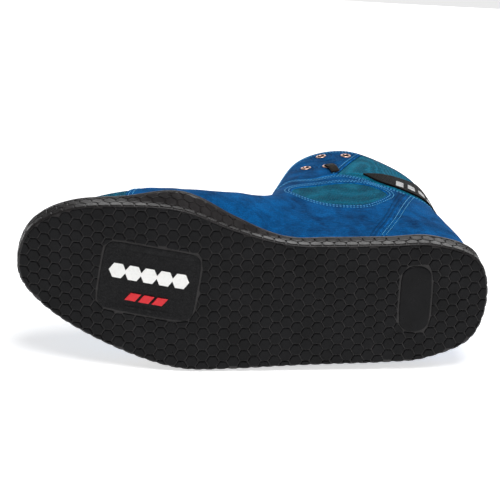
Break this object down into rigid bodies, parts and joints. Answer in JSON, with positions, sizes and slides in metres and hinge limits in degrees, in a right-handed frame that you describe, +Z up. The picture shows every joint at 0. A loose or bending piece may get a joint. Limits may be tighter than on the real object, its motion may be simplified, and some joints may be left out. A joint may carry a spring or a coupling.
{
  "type": "boxing boot",
  "caption": "High lace-up boxing boot with a hexagon-tread cup sole, suede and mesh upper, ankle flaps that open sideways and a padded tongue.",
  "frame": {"origin": "on the flat underside of the outsole, at the middle of the boot's length", "axes": "+Z up, -Y towards the toe, +X towards the inner (medial) side of this right boot"},
  "size_m": [0.1154, 0.303, 0.19],
  "materials": {
    "rubber": "black carbon rubber with a moulded hexagon tread, satin",
    "white_rubber": "white rubber inlay, satin",
    "red_rubber": "red rubber inlay, satin",
    "foam": "closed-cell EVA and PU foam",
    "board": "fibre board and thermoplastic stiffener",
    "lining": "knitted lining fabric, dark blue",
    "suede": "royal blue cow suede, brushed nap",
    "mesh": "teal blue ribbed air mesh",
    "webbing": "black woven tape",
    "band_mark": "white woven mark",
    "eyelet_metal": "copper-plated eyelet, polished",
    "lace": "flat woven lace, near black"
  },
  "bodies": {
    "boot": {"outsole": "rubber", "forefoot_badge": "rubber", "heel_pivot_pad": "rubber", "badge_white_mark": "white_rubber", "badge_red_mark": "red_rubber", "midsole": "foam", "collar_padding": "foam", "lasting_board": "board", "heel_stiffener": "board", "toe_puff": "board", "sockliner": "lining", "foot_lining": "lining", "collar_lining": "lining", "toe_cap": "suede", "quarter_medial": "suede", "quarter_lateral": "suede", "heel_counter_cover": "suede", "vamp_mesh": "mesh", "mesh_window_medial": "mesh", "mesh_window_lateral": "mesh", "collar_mesh": "mesh", "tongue_base": "mesh", "ankle_band": "webbing", "collar_binding": "webbing", "band_mark_medial_1": "band_mark", "band_mark_medial_2": "band_mark", "band_mark_medial_3": "band_mark", "band_mark_medial_4": "band_mark", "throat_eyelet_medial_1": "eyelet_metal", "throat_eyelet_medial_2": "eyelet_metal", "throat_eyelet_medial_3": "eyelet_metal", "band_mark_lateral_1": "band_mark", "band_mark_lateral_2": "band_mark", "band_mark_lateral_3": "band_mark", "band_mark_lateral_4": "band_mark", "throat_eyelet_lateral_1": "eyelet_metal", "throat_eyelet_lateral_2": "eyelet_metal", "throat_eyelet_lateral_3": "eyelet_metal", "lace_bar": "lace", "lace_cross_1": "lace", "lace_cross_2": "lace"},
    "flap_medial": {"flap_lining_medial": "lining", "ankle_flap_medial": "suede", "flap_eyelet_medial_1": "eyelet_metal", "flap_eyelet_medial_2": "eyelet_metal", "flap_eyelet_medial_3": "eyelet_metal", "flap_eyelet_medial_4": "eyelet_metal", "lace_end_medial": "lace"},
    "flap_lateral": {"flap_lining_lateral": "lining", "ankle_flap_lateral": "suede", "flap_eyelet_lateral_1": "eyelet_metal", "flap_eyelet_lateral_2": "eyelet_metal", "flap_eyelet_lateral_3": "eyelet_metal", "flap_eyelet_lateral_4": "eyelet_metal", "lace_end_lateral": "lace"},
    "tongue": {"tongue_top": "mesh"}
  },
  "joints": [
    {"name": "medial_flap_open", "type": "hinge", "parent": "boot", "child": "flap_medial", "pos_m": [0.0455, 0.07, 0.131], "axis": [0, 0.4683, 0.8836], "range_deg": [0, 35]},
    {"name": "lateral_flap_open", "type": "hinge", "parent": "boot", "child": "flap_lateral", "pos_m": [-0.0465, 0.07, 0.131], "axis": [0, -0.4683, -0.8836], "range_deg": [0, 35]},
    {"name": "tongue_forward", "type": "hinge", "parent": "boot", "child": "tongue", "pos_m": [0, 0.0142, 0.1202], "axis": [1, 0, 0], "range_deg": [0, 17.5]}
  ],
  "couplings": [
    {"joint": "lateral_flap_open", "follows": "medial_flap_open", "ratio": 1},
    {"joint": "tongue_forward", "follows": "medial_flap_open", "ratio": 0.5}
  ]
}
